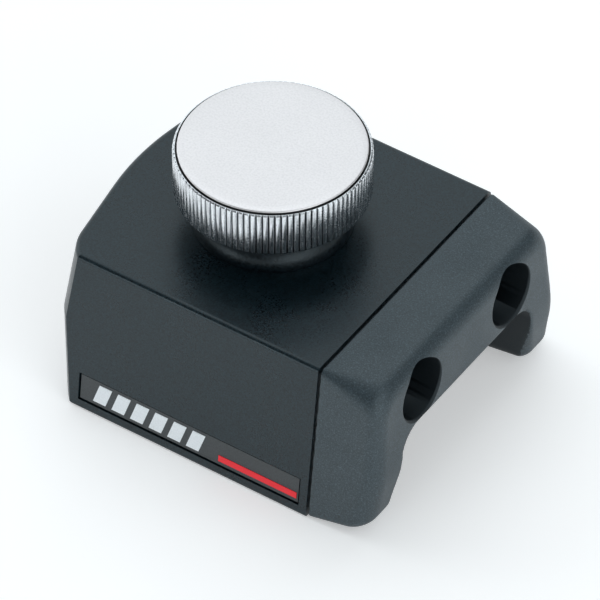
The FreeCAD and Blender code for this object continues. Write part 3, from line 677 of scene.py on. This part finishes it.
MATERIALS = {
    "anodised_body": anodised_body,
    "bumper_elastomer": bumper_elastomer,
    "boot_rubber": boot_rubber,
    "stainless": lambda: metal("stainless", (0.60, 0.61, 0.62), 0.30, 0.25, 0.003),
    "blackened_screw": lambda: metal("blackened_screw", (0.02, 0.021, 0.023), 0.45, 0.3, 0.004),
    "acetal": lambda: plastic("acetal", (0.018, 0.019, 0.020), 0.42),
    "bronze": lambda: metal("bronze", (0.55, 0.36, 0.17), 0.32, 0.3, 0.003, (1, 1, 8)),
    "seal_rubber": lambda: plastic("seal_rubber", (0.010, 0.010, 0.010), 0.5),
    "spring_steel": lambda: metal("spring_steel", (0.48, 0.48, 0.48), 0.25, 0.2, 0.002),
    "knurled_chrome": lambda: knurled_chrome("knurled_chrome", (0.82, 0.85, 0.88), 0.2, 0.02),
    # Painted shade: dark metal for the faces of the knurling's grooves.
    "knurl_groove_painted_shade": lambda: knurled_chrome("knurl_groove_painted_shade", (0.13, 0.14, 0.15), 0.3, 0.02),
    # Painted shade: near black, for the gap round the disc and the knob's recess.
    "knob_recess_painted_shade": lambda: plastic("knob_recess_painted_shade", (0.004, 0.005, 0.006), 0.6),
    # Painted shade: near black, for the faces under the arch and the walls of the wells.
    "bumper_painted_shade": lambda: plastic("bumper_painted_shade", (0.001, 0.003, 0.005), 0.6, 0.35, 0.01, 0.5,
                                     COOL_SHINE),
    "satin_disc": satin_disc,
    "label_grey": lambda: plastic("label_grey", (0.045, 0.052, 0.056), 0.5, 0.25, 0.004),
    "label_white": lambda: plastic("label_white", (0.86, 0.90, 0.93), 0.5, 0.25, 0.003, 0.04),
    "label_red": lambda: plastic("label_red", (0.94, 0.012, 0.025), 0.5, 0.25, 0.003, 0.04),
}


def dress_nodes():
    """Give every CAD node the material of its slot."""
    made = {slot: build() for slot, build in MATERIALS.items()}
    for part in frame["record"]["subparts"]:
        node = frame["nodes"][part["node"]]
        node.data.materials.clear()
        node.data.materials.append(made[part["material_slot"]])
    return made


# ---------------------------------------------------------------- stage, light, camera
def floor():
    """A wide white floor with a faint mottle."""
    n = Nodes("floor_white")
    tone = n.ramp(n.noise(60.0, detail=3.0), [(0.3, (0.90, 0.90, 0.90)), (0.7, (0.93, 0.93, 0.93))])
    material = n.surface(Base_Color=tone, Roughness=0.9, Specular_IOR_Level=0.1,
                         Emission_Color=(1.0, 1.0, 1.0, 1.0), Emission_Strength=FLOOR_GLOW)
    mesh = bpy.data.meshes.new("floor")
    turns = [2 * math.pi * i / FLOOR_SEGMENTS for i in range(FLOOR_SEGMENTS)]
    ring = [(FLOOR_RADIUS * math.cos(a), FLOOR_RADIUS * math.sin(a), 0.0) for a in turns]
    mesh.from_pydata(ring, [], [list(range(FLOOR_SEGMENTS))])
    mesh.materials.append(material)
    thing = add_object("floor", mesh)
    thing.location.z = -FLOOR_GAP * MM


def heading(azimuth, elevation):
    """Unit vector towards an azimuth and elevation in degrees."""
    a, e = math.radians(azimuth), math.radians(elevation)
    return Vector((math.sin(a) * math.cos(e), -math.cos(a) * math.cos(e), math.sin(e)))


def studio():
    """A dim tent with soft-edged panels of light, and a light horizon."""
    world = bpy.data.worlds.new("studio")
    world.use_nodes = True
    nodes, links = world.node_tree.nodes, world.node_tree.links
    back = nodes["Background"]
    back.inputs["Color"].default_value = (*LIGHT_TINT, 1.0)
    way = nodes.new("ShaderNodeTexCoord").outputs["Generated"]

    def smooth(value, dark, light, level):
        node = nodes.new("ShaderNodeMapRange")
        node.interpolation_type = "SMOOTHSTEP"
        links.new(value, node.inputs["Value"])
        numbers = (("From Min", dark), ("From Max", light), ("To Min", 0.0), ("To Max", level))
        for name, number in numbers:
            node.inputs[name].default_value = number
        return node.outputs["Result"]

    parts = []
    for azimuth, elevation, inner, outer, level in PANELS:
        dot = nodes.new("ShaderNodeVectorMath")
        dot.operation = "DOT_PRODUCT"
        links.new(way, dot.inputs[0])
        dot.inputs[1].default_value = heading(azimuth, elevation)
        parts.append(smooth(dot.outputs["Value"], math.cos(math.radians(outer)),
                            math.cos(math.radians(inner)), level))
    split = nodes.new("ShaderNodeSeparateXYZ")
    links.new(way, split.inputs[0])
    parts.append(smooth(split.outputs["Z"], math.sin(math.radians(HORIZON[1])),
                        math.sin(math.radians(HORIZON[0])), HORIZON[2]))
    total = None
    for part in parts:
        node = nodes.new("ShaderNodeMath")
        node.operation = "ADD"
        links.new(part, node.inputs[0])
        if total is None:
            node.inputs[1].default_value = TENT
        else:
            links.new(total, node.inputs[1])
        total = node.outputs[0]
    links.new(total, back.inputs["Strength"])
    scene = bpy.context.scene
    scene.world = world
    scene.view_settings.view_transform = "Standard"


def camera():
    data = bpy.data.cameras.new("camera")
    data.lens = CAMERA_LENS
    data.sensor_width = 36.0
    data.clip_start, data.clip_end = 0.05, 10.0
    view = bpy.data.objects.new("camera", data)
    view.location = CAMERA_AIM + heading(CAMERA_AZIMUTH, CAMERA_ELEVATION) * CAMERA_DISTANCE
    bpy.context.scene.collection.objects.link(view)
    view.rotation_euler = (CAMERA_AIM - view.location).to_track_quat("-Z", "Y").to_euler()
    bpy.context.scene.camera = view


camera()
materials = dress_nodes()
build_bumper(materials)
build_knob(materials)
build_disc(materials)
build_collar(materials)
build_spring(materials)
floor()
studio()

bpy.context.view_layer.update()
